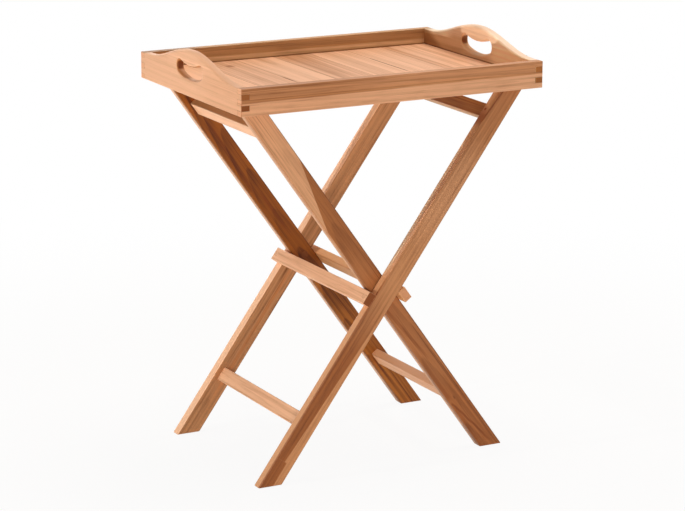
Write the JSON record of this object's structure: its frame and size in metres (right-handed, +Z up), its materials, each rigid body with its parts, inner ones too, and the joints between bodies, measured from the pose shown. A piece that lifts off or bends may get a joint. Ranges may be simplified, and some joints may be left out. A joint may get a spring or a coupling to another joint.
{
  "type": "folding tray table",
  "caption": "Wooden serving tray with two hand holes and a slatted floor, resting on a folding cross-legged stand with rails, stretchers and stop bars.",
  "frame": {"origin": "on the floor, midway between the four feet, under the tray's middle", "axes": "+X along the tray towards the right-hand handle, +Y from the front to the rear, +Z up"},
  "size_m": [0.62, 0.43, 0.785],
  "materials": {
    "teak_board": "oiled teak, lengthwise grain, satin",
    "teak_handle": "oiled teak, pale, lengthwise grain, satin",
    "teak_slat": "oiled teak, pale, grain across the tray, satin",
    "teak_leg": "oiled teak, grain along the leg, satin",
    "teak_rail": "oiled teak, grain along the rail, satin",
    "teak_plug": "oiled teak plug, end flush with the wood around it",
    "steel": "stainless, satin",
    "brass": "plain brass"
  },
  "bodies": {
    "outer_frame": {"outer_front_leg": "teak_leg", "outer_rear_leg": "teak_leg", "outer_top_rail": "teak_rail", "outer_stretcher": "teak_rail", "outer_stop_bar": "teak_rail", "outer_bar_screws": "brass", "outer_bar_plugs": "teak_plug", "outer_rail_pegs": "teak_plug", "front_pivot_bolt": "steel", "rear_pivot_bolt": "steel", "front_pivot_insert": "brass", "rear_pivot_insert": "brass", "front_pivot_washer": "steel", "rear_pivot_washer": "steel"},
    "inner_frame": {"inner_front_leg": "teak_leg", "inner_rear_leg": "teak_leg", "inner_top_rail": "teak_rail", "inner_stretcher": "teak_rail", "inner_stop_bar": "teak_rail", "inner_bar_screws": "brass", "inner_bar_plugs": "teak_plug", "inner_rail_pegs": "teak_plug", "front_pivot_plug": "teak_plug", "rear_pivot_plug": "teak_plug"},
    "tray": {"front_board": "teak_board", "rear_board": "teak_board", "left_handle_board": "teak_handle", "right_handle_board": "teak_handle", "slat_1": "teak_slat", "slat_2": "teak_slat", "slat_3": "teak_slat", "slat_4": "teak_slat", "slat_5": "teak_slat", "slat_6": "teak_slat", "slat_7": "teak_slat"}
  },
  "joints": [
    {"name": "stand_fold", "type": "hinge", "parent": "outer_frame", "child": "inner_frame", "pos_m": [0, 0, 0.336], "axis": [0, 1, 0], "range_deg": [0, 65]},
    {"name": "tray_lift", "type": "slide", "parent": "outer_frame", "child": "tray", "axis": [0, 0, 1], "range_m": [0, 0.4]}
  ],
  "couplings": [
    {"joint": "tray_lift", "follows": "stand_fold", "m_per_rad": 0.34}
  ]
}
